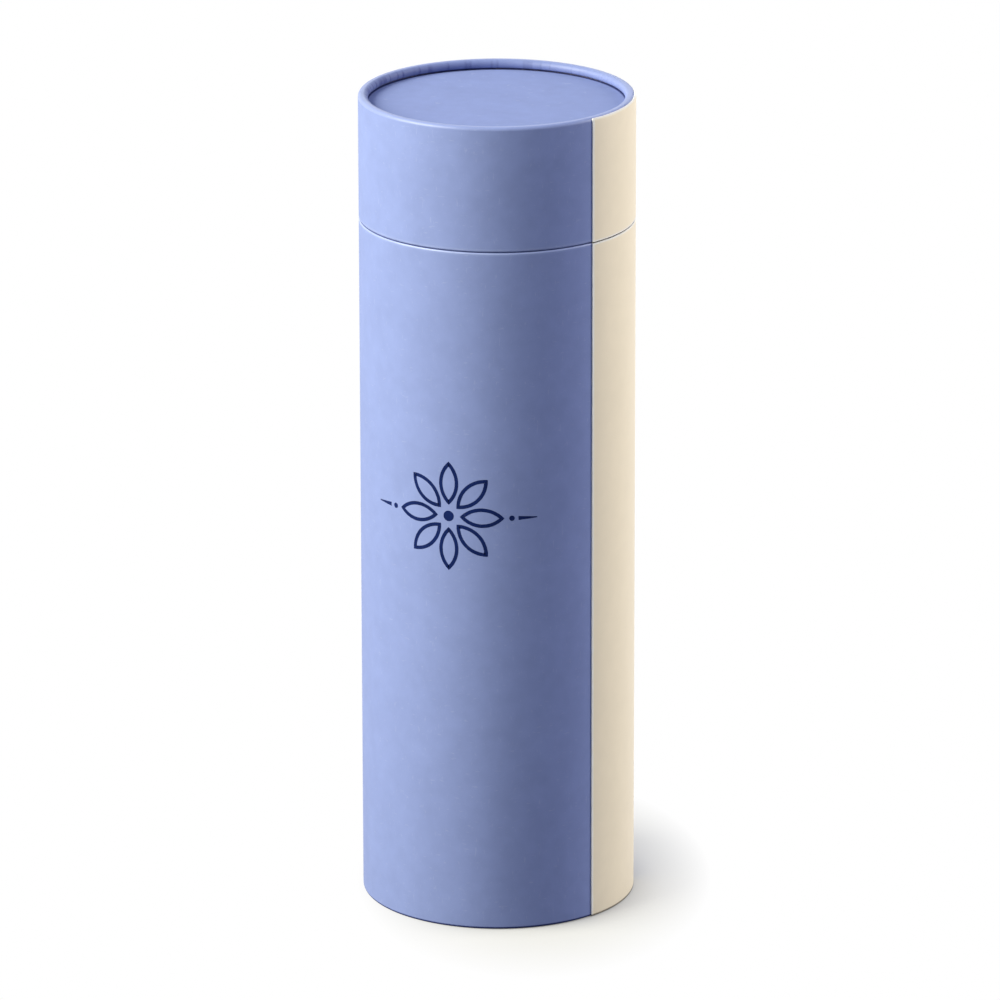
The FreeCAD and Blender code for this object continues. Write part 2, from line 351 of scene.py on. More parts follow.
# LINER_PAINTED_SHADE is painted shade at the edge of the cream rounds.
LINER_CREAM, LINER_WORN, LINER_PAINTED_SHADE = (0.62, 0.555, 0.45), (0.7, 0.65, 0.56), (0.3, 0.25, 0.2)
CARD_VALUES = {"rough": 0.42, "cloud": 0.01, "fleck": 0.03, "scuff_highlight": 1.0, "gloss": 0.2}
CREAM_CARD = paper("cream_card", CREAM, CARD_CORE_AND_HIGHLIGHT, CARD_PAINTED_SHADE, **CARD_VALUES)
CARD_CORE = paper("card_core", CORE, CORE, CARD_PAINTED_SHADE, rough=0.7, cloud=0.01, fleck=0.0)
GAP_SHADE_PAPER = paper("gap_shade", GAP_SHADE_BROWN, CREAM, CARD_PAINTED_SHADE, rough=0.6)
CREAM_PAPER = paper("cream_paper", LINER_CREAM, LINER_WORN, LINER_PAINTED_SHADE, rough=0.62)

# %% [markdown]
# ## The finish of the board
#
# The board is brown, coarse and wound in plies, which show as streaks round the tube. It is seen
# only at cut edges, so it needs no wear. Its noise is squeezed along the axis and drawn out round
# it, and the clouds and fibres of the papers lie on top. Every solid gets it here, because the
# papers take the places of their own solids later.

# %% Board
PLIES, PLIES_STRETCH, PLIES_CUT = 300.0, (0.15, 0.15, 4.0), (0.3, 0.7)
BOARD_DARK, BOARD_PALE = (0.33, 0.24, 0.15, 1), (0.47, 0.36, 0.24, 1)
BOARD_RELIEF, BOARD_STRENGTH = 0.04 * MM, 0.8


def wound_board():
    """Brown board: plies that wind round the tube, and coarse fibres."""
    material, tree, shader = new_finish("wound_board")
    plies = spread(tree, grain(tree, PLIES, detail=3.0, stretch=PLIES_STRETCH), *PLIES_CUT)
    brown = blend(tree, plies, BOARD_DARK, BOARD_PALE)
    clouded = place_group(tree, PAPER_CLOUDS, Color=brown, Cloud=0.1, Fleck=0.2)
    fibres = place_group(tree, PAPER_FIBRES, Rough=0.8)
    normal = relief(tree, fibres["Height"], BOARD_STRENGTH, BOARD_RELIEF)
    fill(tree, shader, Base_Color=clouded["Color"], Roughness=fibres["Roughness"], Normal=normal)
    return material


WOUND_BOARD = wound_board()
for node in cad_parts.values():
    node.data.materials.clear()
    node.data.materials.append(WOUND_BOARD)
print(WOUND_BOARD.name, "on", len(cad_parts), "solids until papers replace them")

# %% [markdown]
# ## Turning a sheet of paper
#
# Every paper here is a strip that follows a tube. Its cross-section is a line drawn in the plane
# of radius and height: straight runs and arcs. A pen draws it with two operators, extrude for a
# run and spin for an arc. A second spin about the tube's axis turns the line into a sheet, and
# solidify gives the sheet its thickness, inwards, so that the drawn line stays the outside.

# %% The pen
UP = Vector((0, 0, 1))
WEDGES = 24
WELD = HAIR / 4


class Pen:
    """Draws the section of a sheet with mesh operators. X is the radius and Z the height."""

    def __init__(self, radius, height):
        self.mesh = bmesh.new()
        self.tip = self.mesh.verts.new((radius, 0, height))

    def line(self, radius, height, steps=1):
        """Extrudes the tip to a point, in steps of even length."""
        step = (Vector((radius, 0, height)) - self.tip.co) / steps
        for _ in range(steps):
            self.tip = bmesh.ops.extrude_vert_indiv(self.mesh, verts=[self.tip])["verts"][0]
            bmesh.ops.translate(self.mesh, verts=[self.tip], vec=step)
        return self

    def arc(self, radius, height, degrees, steps):
        """Spins the tip about a centre. A positive turn goes from +X up towards +Z."""
        turned = bmesh.ops.spin(
            self.mesh,
            geom=[self.tip],
            cent=(radius, 0, height),
            axis=(0, -1, 0),
            angle=math.radians(degrees),
            steps=steps,
        )
        self.tip = turned["geom_last"][0]
        return self

    def turn(self, steps, degrees=FULL_TURN, start=0.0):
        """Turns the section about the tube's axis and returns the sheet, facing outwards.

        A spin of many steps is slow, so one wedge is spun, and the wedge is repeated and welded.
        """
        mesh = self.mesh
        wedge = math.radians(degrees) / WEDGES
        bmesh.ops.rotate(mesh, verts=mesh.verts[:], matrix=Matrix.Rotation(math.radians(start), 3, UP))
        section = mesh.verts[:] + mesh.edges[:]
        bmesh.ops.spin(mesh, geom=section, axis=UP, angle=wedge, steps=steps // WEDGES)
        sheet = mesh.verts[:] + mesh.edges[:] + mesh.faces[:]
        rest = WEDGES - 1
        bmesh.ops.spin(mesh, geom=sheet, axis=UP, angle=wedge * rest, steps=rest, use_duplicate=True)
        bmesh.ops.remove_doubles(mesh, verts=mesh.verts[:], dist=WELD)
        bmesh.ops.recalc_face_normals(mesh, faces=mesh.faces[:])
        return mesh

    def turn_open(self, steps, gap, bearing=0.0):
        """Turns the section nearly all round, and leaves a gap of some degrees at one bearing."""
        return self.turn(steps, FULL_TURN - gap, bearing + gap / 2)


print("a full turn is", WEDGES, "wedges of", FULL_TURN / WEDGES, "degrees")

# %% From sheet to piece
SMOOTH_BELOW = 40.0


def thicken(mesh, thickness):
    """Gives a sheet its thickness, on the side that its faces turn away from."""
    bmesh.ops.solidify(mesh, geom=mesh.faces[:], thickness=thickness)
    return mesh


def show(name, data):
    """Puts a new object into the scene, at the origin."""
    made = bpy.data.objects.new(name, data)
    bpy.context.scene.collection.objects.link(made)
    return made


def piece(name, mesh, body, finishes, node=None, sharp=SMOOTH_BELOW):
    """Makes an object, smooth where edges turn less than an angle, and ties it to a body.

    It takes the place of a node, where one is named.
    """
    data = bpy.data.meshes.new(name)
    mesh.to_mesh(data)
    mesh.free()
    for finish in finishes:
        data.materials.append(finish)
    data.shade_smooth()
    data.set_sharp_from_angle(angle=math.radians(sharp))
    made = show(name, data)
    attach(made, body)
    if node:
        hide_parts(node)
    print("piece", name, "on", body, len(data.polygons), "faces")


print("edges stay smooth below", SMOOTH_BELOW, "degrees")

# %% [markdown]
# ## Marks of use, painted light and tools
#
# Edges are made paler, partly as scuffing by hands and partly as a painted highlight; crevices,
# creases, grooves and the foot get painted shade; and a tool leaves a shine where it pressed. Only
# the mesh knows where its edges are, so all three are marked there: the pale mark and the painted
# shade as two attributes of its points, and the shine as a second finish on its faces. A mark is a
# place in the section, with a reach over which it fades.

# %% Marks
Place = namedtuple("Place", "radius height reach strength", defaults=[1.0])
PRESSED_FINISH = 1


def nearness(place, point):
    """One at the place, and zero at its reach."""
    return 1.0 - math.hypot(point.xy.length - place.radius, point.z - place.height) / place.reach


def mark(mesh, layer, places):
    """Marks the points near some places. A strength above 1 widens the full middle."""
    share = mesh.verts.layers.float.new(layer)
    for vert in mesh.verts:
        for place in places:
            vert[share] = max(vert[share], min(1.0, place.strength * nearness(place, vert.co)))


def press(mesh, places):
    """Gives the faces near some places the second finish."""
    for face in mesh.faces:
        middle = face.calc_center_median()
        if any(nearness(place, middle) > 0 for place in places):
            face.material_index = PRESSED_FINISH


print("a place has", ", ".join(Place._fields))

# %% [markdown]
# ## The lid's blue paper
#
# The paper is turned in under the mouth, goes up the wall and is rolled with the board into a round
# rim. The sheet's two ends meet under the stripe, so the turn stops a hair short of full. On the
# inside of the roll the paper has nowhere to go and gathers into fine pleats: real ones are shallow
# and uneven, so the points there are pushed in by noise that runs round the rim.

# %% Sizes of the rim
WRAP_JOINT = 0.3 * MM
JOINT_ANGLE = math.degrees(WRAP_JOINT / TUBE)
LID_BORE, LIP_RADIUS = radii("lid_wrap", SEAM)
LIP = TUBE - LIP_RADIUS
ROLL_RADIUS, SHOULDER_RADIUS = radii("lid_wrap", CROWN)
SHOULDER = TUBE - SHOULDER_RADIUS
ROLL = (CROWN - heights("lid_top_paper")[1] - GLUE) / 2
print(f"rim: shoulder {SHOULDER / MM:.2f} mm, roll {ROLL / MM:.2f} mm; lip at the seam {LIP / MM:.2f} mm")

# %% Pleats
PLEAT_DEPTH, PLEAT_CELLS = 0.055 * MM, 13.0
PLEAT_REACH = 1.1 * ROLL
CREASE_WIDTH = 0.16
RIPPLE, RIPPLE_FINER = 0.25, 1.7
GLOOM, CREASE_GLOOM = 0.62, 0.3


def pleat(sheet):
    """Presses uneven creases into the roll's inner side and paints shade there, most in creases and
    opposite the stripe.
    """
    painted_shade = sheet.verts.layers.float["painted_shade"]
    for vert in sheet.verts:
        inward = ROLL_RADIUS - vert.co.xy.length
        upward = vert.co.z - (CROWN - ROLL)
        if inward <= 0 or math.hypot(inward, upward) > PLEAT_REACH:
            continue
        out = vert.co.xy.normalized()
        spot = Vector((out.x, out.y, 0.0)) * PLEAT_CELLS
        crease = max(0.0, 1.0 - abs(noise.noise(spot)) / CREASE_WIDTH)
        ripple = RIPPLE * noise.noise(spot * RIPPLE_FINER)
        inside = min(1.0, inward / ROLL)
        push = (crease + ripple + RIPPLE) * PLEAT_DEPTH * inside
        # Painted shade on the roll's inner side: deeper in the creases and towards the side opposite the
        # stripe.
        gloom = (GLOOM + CREASE_GLOOM * crease) * inside * (1.0 - out.x) / 2
        vert[painted_shade] = max(vert[painted_shade], gloom)
        vert.co += Vector((out.x * inward, out.y * inward, -upward)) * push / ROLL


print(f"pleats up to {PLEAT_DEPTH * (1 + 2 * RIPPLE) / MM:.3f} mm deep")

# %% Lid paper
AROUND = 1080
LIP_STEPS = 8
SEAM_SHADE_REACH = 0.62 * MM
# GROOVE is painted shade in the groove where the two turned-in edges meet at the seam.
GROOVE = Place(LIP_RADIUS, SEAM, reach=SEAM_SHADE_REACH, strength=3.0)
# LID_LIP and CREST paint a paler band on the lid's lower lip and along the rim's crest: partly scuffing,
# partly a painted highlight.
LID_LIP = Place(TUBE, SEAM + 0.9 * LIP, reach=0.35 * MM, strength=0.3)
CREST = Place(ROLL_RADIUS + 0.25 * MM, CROWN, reach=0.9 * MM, strength=0.25)
# CREVICE is painted shade in the crevice under the rolled rim.
CREVICE = Place(ROLL_RADIUS - 0.4 * ROLL, CROWN - 1.9 * ROLL, reach=1.0 * MM, strength=2.0)
PRESSED_ROLL = Place(ROLL_RADIUS, CROWN - ROLL, reach=1.05 * ROLL)
PRESSED_SHOULDER = Place(SHOULDER_RADIUS, CROWN - SHOULDER, reach=1.05 * SHOULDER)


def lid_paper():
    """Drawn from the turned-in edge at the mouth, up the wall, and over the shoulder into the roll."""
    pen = Pen(LID_BORE, SEAM).line(LIP_RADIUS - SEAM_SHADE_REACH, SEAM).line(LIP_RADIUS, SEAM)
    pen.arc(LIP_RADIUS, SEAM + LIP, QUARTER, LIP_STEPS).line(TUBE, SEAM + 2 * LIP)
    pen.line(TUBE, CROWN - SHOULDER, steps=2).arc(SHOULDER_RADIUS, CROWN - SHOULDER, QUARTER, steps=10)
    pen.line(ROLL_RADIUS, CROWN).arc(ROLL_RADIUS, CROWN - ROLL, HALF_TURN, steps=16)
    sheet = pen.turn_open(AROUND, JOINT_ANGLE)
    mark(sheet, "scuff_and_highlight", [CREST, LID_LIP])
    mark(sheet, "painted_shade", [CREVICE, GROOVE])
    pleat(sheet)
    press(sheet, [PRESSED_ROLL, PRESSED_SHOULDER])
    finishes = [BLUE_PAPER, PRESSED_PAPER]
    piece("lid_paper", thicken(sheet, WRAP), "lid", finishes, "lid_wrap")


lid_paper()

# %% [markdown]
# ## The base's blue paper
#
# The base's paper is turned in at the mouth too, and goes down the wall and round the flattened
# foot. The two turned-in edges make the groove at the seam. The groove and the foot get painted
# shade. The stripe is cut through at the seam, and in its gap the paper gets painted shade, brown
# like card in shadow, so a third finish goes there.

# %% Painted shade behind the stripe's gap
STRIPE_INSIDE, STRIPE_OUTSIDE = radii("base_stripe")
STRIPE_HALF = math.asin(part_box("base_stripe")[1].y / STRIPE_OUTSIDE)
GAP_SHADE_HEIGHT = 1.2 * MM
GAP_SHADE_FINISH = 2


def shade_behind_stripe(sheet):
    """Behind the gap between the two stripes the paper gets full painted shade, no pale mark, and a brown
    finish.
    """
    scuff_and_highlight, painted_shade = sheet.verts.layers.float["scuff_and_highlight"], sheet.verts.layers.float["painted_shade"]
    gap_points = set()
    for vert in sheet.verts:
        behind = abs(math.atan2(vert.co.y, vert.co.x)) < STRIPE_HALF
        outside = vert.co.xy.length > LIP_RADIUS - HAIR
        if behind and outside and vert.co.z > SEAM - GAP_SHADE_HEIGHT:
            vert[scuff_and_highlight], vert[painted_shade] = 0.0, 1.0
            gap_points.add(vert)
    for face in sheet.faces:
        if gap_points.issuperset(face.verts):
            face.material_index = GAP_SHADE_FINISH


print(f"the stripe is {2 * STRIPE_HALF * TUBE / MM:.1f} mm wide, measured round the tube")

# %% Base paper
BASE_BORE = radii("base_wrap", SEAM)[0]
FOOT_INSIDE, FOOT_OUTSIDE = radii("base_wrap", 0.0)
FOOT = TUBE - FOOT_OUTSIDE
FOOT_TURN = 153.0
# BASE_LIP paints a paler band on the base's upper lip: partly scuffing, partly a painted highlight.
BASE_LIP = Place(TUBE - 0.09 * LIP, SEAM - 0.58 * LIP, reach=0.45 * MM, strength=0.5)
PRESSED_LIP = Place(LIP_RADIUS, SEAM - LIP, reach=1.1 * LIP)
# FOOT_SHADE is painted shade: a dark band round the foot where it meets the floor.
FOOT_SHADE = Place(TUBE - 0.5 * FOOT, 0.13 * FOOT, reach=FOOT, strength=3.0)
print(f"foot: rounded by {FOOT / MM:.2f} mm, stands out to {FOOT_OUTSIDE / MM:.2f} mm")


def base_paper():
    """Drawn from the turned-in edge at the mouth, down the wall, and round the foot."""
    pen = Pen(BASE_BORE, SEAM).line(LIP_RADIUS - SEAM_SHADE_REACH, SEAM).line(LIP_RADIUS, SEAM)
    pen.arc(LIP_RADIUS, SEAM - LIP, -QUARTER, LIP_STEPS).line(TUBE, SEAM - 2 * LIP)
    pen.line(TUBE, FOOT, steps=3).arc(FOOT_OUTSIDE, FOOT, -QUARTER, steps=8)
    pen.line(FOOT_INSIDE, 0).arc(FOOT_INSIDE, FOOT, -FOOT_TURN, steps=12)
    sheet = pen.turn_open(AROUND, JOINT_ANGLE)
    mark(sheet, "scuff_and_highlight", [BASE_LIP])
    mark(sheet, "painted_shade", [GROOVE, FOOT_SHADE])
    press(sheet, [PRESSED_LIP])
    shade_behind_stripe(sheet)
    finishes = [BLUE_PAPER, PRESSED_PAPER, GAP_SHADE_PAPER]
    piece("base_paper", thicken(sheet, WRAP), "base", finishes, "base_wrap")


base_paper()

# %% [markdown]
# ## The cream stripe
#
# The stripe is a strip of card glued up the side, cut through at the seam and bent over the lid's
# shoulder. Card is thick enough to see: its cut edges stand proud and show the white core. A whiter
# band along the cut edges, which is the core and a painted highlight, lies on the face, except at
# the foot, where a dark band is painted shade. The sheet is turned through the stripe's own angle,
# with rows of points close to its ends for those marks to fade over. Then it is thickened, and its
# outer edges are bevelled a touch, because no knife leaves a perfect corner. Faces that look
# sideways or up and down get the core's finish.

# %% Marks on the card
EDGE_ROWS = (0.2 * MM, 0.4 * MM, 0.6 * MM, 0.8 * MM)
CARD_WHITE, CARD_FADE = EDGE_ROWS[0], EDGE_ROWS[-1]
SIDE_WHITE = 0.3 * MM
CARD_FOOT_SHADE, FOOT_SHADE_STRENGTH = 0.8 * MM, 1.7


def mark_edges(sheet, bottom, top, at_foot):
    """Marks a whiter band along the cut edges, the core and a painted highlight, and painted shade at the
    foot.

    The band is wider on the two long sides.
    """
    scuff_and_highlight, painted_shade = sheet.verts.layers.float.new("scuff_and_highlight"), sheet.verts.layers.float.new("painted_shade")
    for vert in sheet.verts:
        across = STRIPE_OUTSIDE * (STRIPE_HALF - abs(math.atan2(vert.co.y, vert.co.x)))
        raised = vert.co.z - bottom
        away = min(across - SIDE_WHITE, top - vert.co.z, CARD_FADE if at_foot else raised)
        # The whiter band near each cut edge: the core and a painted highlight.
        vert[scuff_and_highlight] = min(1.0, max(0.0, (CARD_FADE - away) / (CARD_FADE - CARD_WHITE)))
        # A dark band at the base stripe's foot: painted shade.
        foot_shade = FOOT_SHADE_STRENGTH * (1.0 - raised / CARD_FOOT_SHADE) if at_foot else 0.0
        vert[painted_shade] = min(1.0, max(0.0, foot_shade))


print(f"the core fades out {CARD_FADE / MM:.1f} mm from a cut end")

# %% Stripe
STRIPE_ANGLE = 2 * math.degrees(STRIPE_HALF)
STRIPE_STEPS = 8 * WEDGES
STRIPE_LAP = 42.0
SEAM_TRIM = 0.2 * MM
CARD_THICKNESS = STRIPE_OUTSIDE - TUBE - 2 * HAIR
CARD_BEVEL = {"offset": 0.08 * MM, "segments": 2, "profile": 0.5, "affect": "EDGES", "material": -1}
CARD_SMOOTH_BELOW = 50.0
CORE_FINISH = 1
# The least turn at a corner, in radians, and the least cosine between a face and straight out.
CORNER_ANGLE, FACES_OUT = 1.0, 0.7


def is_outer_corner(edge):
    """Tells a corner of the card's outer side from its other edges."""
    middle = (STRIPE_INSIDE + STRIPE_OUTSIDE) / 2
    return edge.calc_face_angle(0.0) > CORNER_ANGLE and all(v.co.xy.length > middle for v in edge.verts)


def stripe(name, node, body, laps):
    """A strip of card up the side. The lid's one laps over the shoulder, the base's ends at the seam."""
    bottom, top = heights(node)
    pen = Pen(STRIPE_OUTSIDE, bottom)
    for row in EDGE_ROWS:
        pen.line(STRIPE_OUTSIDE, bottom + row)
    if laps:
        pen.line(STRIPE_OUTSIDE, CROWN - SHOULDER, steps=4)
        top = pen.arc(SHOULDER_RADIUS, CROWN - SHOULDER, STRIPE_LAP, steps=8).tip.co.z
    else:
        top -= SEAM_TRIM
        pen.line(STRIPE_OUTSIDE, top - EDGE_ROWS[-1], steps=4)
        for row in reversed((0.0, *EDGE_ROWS[:-1])):
            pen.line(STRIPE_OUTSIDE, top - row)
    sheet = pen.turn(STRIPE_STEPS, STRIPE_ANGLE, -STRIPE_ANGLE / 2)
    mark_edges(sheet, bottom, top, at_foot=not laps)
    card = thicken(sheet, CARD_THICKNESS)
    corners = [edge for edge in card.edges if is_outer_corner(edge)]
    bmesh.ops.bevel(card, geom=corners, **CARD_BEVEL)
    card.normal_update()
    for face in card.faces:
        out = face.calc_center_median().xy.normalized()
        if abs(face.normal.xy.dot(out)) <= FACES_OUT:
            face.material_index = CORE_FINISH
    piece(name, card, body, [CREAM_CARD, CARD_CORE], node, sharp=CARD_SMOOTH_BELOW)


stripe("lid_stripe_card", "lid_stripe", "lid", laps=True)
stripe("base_stripe_card", "base_stripe", "base", laps=False)

# %% [markdown]
# ## Papers on the discs
#
# Each disc has a paper on both faces. They are plain rounds, so a circle does it: capped, inset
# twice near the edge for a ring of painted shade to fade over, and thickened. The ring stands for the
# shade where the round meets the tube. The top one is cut a little wide, so that no board shows
# beside it under the rolled rim.

# %% Disc papers
DISC_SHADE_RINGS = (1.1 * MM, 0.6 * MM)
DISC_SEGMENTS = 360
TOP_SPARE = 0.15 * MM


def round_paper(name, node, body, finish, faces_up, spare=0.0):
    """A round of paper on a disc. The spare width is pressed up against the tube's wall."""
    low, high = heights(node)
    radius = radii(node)[1] + spare
    mesh = bmesh.new()
    bmesh.ops.create_circle(mesh, cap_ends=True, radius=radius, segments=DISC_SEGMENTS)
    # Painted shade: a darker ring at the round's edge, where it meets the tube.
    painted_shade = mesh.verts.layers.float.new("painted_shade")
    for vert in mesh.verts:
        vert[painted_shade] = 1.0
    middle = mesh.faces[:]
    for width in DISC_SHADE_RINGS:
        bmesh.ops.inset_region(mesh, faces=middle, thickness=width, use_boundary=True)
    for vert in middle[0].verts:
        vert[painted_shade] = 0.0
    bmesh.ops.translate(mesh, verts=mesh.verts[:], vec=(0, 0, high if faces_up else low))
    bmesh.ops.recalc_face_normals(mesh, faces=mesh.faces[:])
    if (mesh.faces[:][0].normal.z > 0) != faces_up:
        bmesh.ops.reverse_faces(mesh, faces=mesh.faces[:])
    piece(name, thicken(mesh, high - low), body, [finish], node)


round_paper("lid_top_round", "lid_top_paper", "lid", BLUE_PAPER, True, TOP_SPARE)
round_paper("lid_ceiling_round", "lid_ceiling_paper", "lid", CREAM_PAPER, False)
round_paper("base_floor_round", "base_floor_paper", "base", CREAM_PAPER, True)
round_paper("base_under_round", "base_under_paper", "base", BLUE_PAPER, False)

# %% [markdown]
# ## The neck and the linings
#
# With the lid off, the neck is what shows. Its cream paper covers the outside and is turned in over
# the mouth, and a second paper lines the inside. A lining is rolled up and pushed in, so its two
# ends only butt together, at the back. The same pen draws them all.

# %% Neck paper
NECK_AROUND = 720
NECK_OUTSIDE = radii("neck_wrap")[1]
NECK_FOOT, NECK_TOP = heights("neck_wrap")
NECK_BORE, NECK_LIP_RADIUS = radii("neck_wrap", NECK_TOP)
NECK_LIP = NECK_OUTSIDE - NECK_LIP_RADIUS
NECK_RUB = Place(NECK_OUTSIDE, NECK_TOP, reach=2.0 * MM, strength=0.6)


def neck_paper():
    """Drawn up the outside and over the mouth, with a row of points where the rub starts."""
    pen = Pen(NECK_OUTSIDE, NECK_FOOT).line(NECK_OUTSIDE, NECK_TOP - NECK_RUB.reach, steps=8)
    pen.line(NECK_OUTSIDE, NECK_TOP - NECK_LIP)
    pen.arc(NECK_LIP_RADIUS, NECK_TOP - NECK_LIP, QUARTER, steps=6).line(NECK_BORE, NECK_TOP)
    sheet = pen.turn(NECK_AROUND)
    mark(sheet, "scuff_and_highlight", [NECK_RUB])
    piece("neck_paper", thicken(sheet, LINER), "base", [CREAM_PAPER], "neck_wrap")


neck_paper()

# %% Linings
BUTT = 0.25 * MM
BACK = 90.0


def lining(name, node, body):
    """A tube of paper that faces inwards, open by a hair where its ends butt together."""
    inside, bore = radii(node)
    bottom, top = heights(node)
    pen = Pen(inside, bottom).line(inside, top, steps=10)
    sheet = pen.turn_open(NECK_AROUND, math.degrees(BUTT / inside), BACK)
    bmesh.ops.reverse_faces(sheet, faces=sheet.faces[:])
    piece(name, thicken(sheet, bore - inside), body, [CREAM_PAPER], node)


lining("neck_lining_paper", "neck_lining", "base")
lining("lid_lining_paper", "lid_lining", "lid")

# %% [markdown]
# ## The printed ornament
#
# A small rosette in navy ink sits on the front, with a tapering rule on each side. Ink could be a
# mask in the paper's finish, but as a film of its own it stays crisp at any distance. It is drawn
# flat with the same pen, in the plane of width and height. A petal is two arcs, filled, inset to a
# line of even width and opened in the middle, and a spin repeats it eight times. Then the flat
# drawing is bent round the tube and given the thickness of a heavy print.

# %% Draw the rosette
PETALS = 8
PETAL_START, PETAL_END = 4.2 * MM, 20.5 * MM
PETAL_BULGE = 3.7 * MM
PETAL_STEPS = 20
INK_LINE = 1.35 * MM


def filled(pen):
    """Closes the pen's line and fills it with one face."""
    bmesh.ops.remove_doubles(pen.mesh, verts=pen.mesh.verts[:], dist=HAIR)
    bmesh.ops.contextual_create(pen.mesh, geom=pen.mesh.edges[:])
    return pen.mesh


def petal():
    """The outline of a petal that points up: two arcs that meet in points at both ends."""
    middle, half = (PETAL_START + PETAL_END) / 2, (PETAL_END - PETAL_START) / 2
    aside = (half**2 - PETAL_BULGE**2) / (2 * PETAL_BULGE)
    sweep = 2 * math.degrees(math.atan2(half, aside))
    pen = Pen(0, PETAL_START)
    pen.arc(-aside, middle, sweep, PETAL_STEPS).arc(aside, middle, sweep, PETAL_STEPS)
    mesh = filled(pen)
    face = mesh.faces[:]
    bmesh.ops.inset_individual(mesh, faces=face, thickness=INK_LINE, use_even_offset=True)
    bmesh.ops.delete(mesh, geom=face, context="FACES")
    return mesh


def rosette():
    """Petals all round."""
    mesh = petal()
    drawing = mesh.verts[:] + mesh.edges[:] + mesh.faces[:]
    more = PETALS - 1
    around = math.tau * more / PETALS
    bmesh.ops.spin(mesh, geom=drawing, axis=(0, 1, 0), angle=around, steps=more, use_duplicate=True)
    return mesh


print("a rosette of", PETALS, f"petals, {2 * PETAL_END / MM:.0f} mm across")

# %% Draw dots and rules
HEART_DOT, SIDE_DOT = 2.0 * MM, 1.0 * MM
DOT_STEPS = 24
SIDE_PLACE = 23.2 * MM
RULE_START, RULE_END = 25.6 * MM, 32.5 * MM
RULE_THICK, RULE_THIN = 0.75 * MM, 0.2 * MM
RULE_STEPS = 16


def dot(width, radius):
    """A round dot, some width aside from the middle."""
    return filled(Pen(width + radius, 0).arc(width, 0, FULL_TURN, DOT_STEPS))


def rule(side):
    """A strip that tapers outwards, made by drawing its upper edge and extruding that down."""
    pen = Pen(side * RULE_START, RULE_THICK).line(side * RULE_END, RULE_THIN, RULE_STEPS)
    made = bmesh.ops.extrude_edge_only(pen.mesh, edges=pen.mesh.edges[:])["geom"]
    lower = [part for part in made if isinstance(part, bmesh.types.BMVert)]
    bmesh.ops.scale(pen.mesh, verts=lower, vec=(1, 1, -1))
    return pen.mesh


print(f"the rules end {RULE_END / MM:.1f} mm from the middle")

# %% Print the ornament
INK = 0.02 * MM
INK_OUTSIDE = TUBE + 1.25 * INK
ORNAMENT_HEIGHT = 158.0 * MM
NAVY, NAVY_WORN, NAVY_SOILED = (0.006, 0.016, 0.095), (0.05, 0.07, 0.2), (0, 0, 0)
NAVY_INK = paper("navy_ink", NAVY, NAVY_WORN, NAVY_SOILED, rough=0.4, cloud=0.12, fleck=0.01)


def bend(mesh):
    """Bends a flat drawing round the tube's front, just proud of the paper."""
    for vert in mesh.verts:
        turn = vert.co.x / TUBE
        across, forward = INK_OUTSIDE * math.sin(turn), INK_OUTSIDE * math.cos(turn)
        vert.co = (across, -forward, ORNAMENT_HEIGHT + vert.co.z)
    bmesh.ops.recalc_face_normals(mesh, faces=mesh.faces[:])
    inward = [face for face in mesh.faces if face.normal.xy.dot(face.calc_center_median().xy) < 0]
    bmesh.ops.reverse_faces(mesh, faces=inward)
    return mesh


def ornament():
    """Joins the flat drawings, bends them and gives them the thickness of the ink."""
    drawing = bmesh.new()
    parts = [rosette(), dot(0, HEART_DOT)]
    for side in (1, -1):
        parts += [dot(side * SIDE_PLACE, SIDE_DOT), rule(side)]
    for part in parts:
        data = bpy.data.meshes.new("part")
        part.to_mesh(data)
        part.free()
        drawing.from_mesh(data)
        bpy.data.meshes.remove(data)
    piece("front_ornament", thicken(bend(drawing), INK), "base", [NAVY_INK])


ornament()

# %% [markdown]
# ## The floor and the sky
#
# The box stands on a white sweep. Near the box the floor is a real surface that takes the shadow
# and darkens a little where the foot meets it. It throws less light back at the box than it shows,
# and further out it fades to plain white, over an ellipse that is turned to the camera. The sky is
# a weak, cool fill, but the camera and reflections see it as white.

# %% Directions and rays
CAMERA_AZIMUTH = 20.5


def towards(azimuth, elevation=0.0):
    """A direction, with azimuth 0 at the front and 90 at the stripe."""
    a, e = math.radians(azimuth), math.radians(elevation)
    return Vector((math.sin(a) * math.cos(e), -math.cos(a) * math.cos(e), math.sin(e)))


def shows_white(tree):
    """One for rays that see the background as white: from the camera, or by gloss or glass."""
    path = add(tree, "LightPath").outputs
    seen = compute(tree, "MAXIMUM", path["Is Camera Ray"], path["Is Glossy Ray"])
    return compute(tree, "MAXIMUM", seen, path["Is Transmission Ray"])


FRONT, RIGHT = towards(CAMERA_AZIMUTH), towards(CAMERA_AZIMUTH + QUARTER)
print("the camera's side is", [round(x, 3) for x in FRONT])

# %% Floor
FLOOR_TONE, FLOOR_BOUNCE = 0.42, 0.2
FLOOR_LIFT, FLOOR_WARMTH = 0.27, (1.0, 0.96, 0.84, 1)
FLOOR_RADIUS, FLOOR_SEGMENTS = 8.0, 64
CONTACT_REACH = 0.012
FADE_WIDE, FADE_DEEP = 0.066, 0.108
FADE_RIGHT, FADE_FRONT = 0.0135, -0.008
FADE_START = 0.42


def pool_fade(tree):
    """Zero near the box, and one outside the ellipse."""
    pool = add(tree, "Mapping", Vector=add(tree, "TexCoord").outputs["Object"])
    pool.vector_type = "TEXTURE"
    link(tree, pool.inputs["Location"], RIGHT * FADE_RIGHT + FRONT * FADE_FRONT)
    link(tree, pool.inputs["Rotation"], (0, 0, math.radians(CAMERA_AZIMUTH)))
    link(tree, pool.inputs["Scale"], (FADE_WIDE, FADE_DEEP, 1.0))
    away = add(tree, "VectorMath")
    away.operation = "LENGTH"
    link(tree, away.inputs[0], pool.outputs["Vector"])
    return spread(tree, away.outputs["Value"], FADE_START, 1.0)


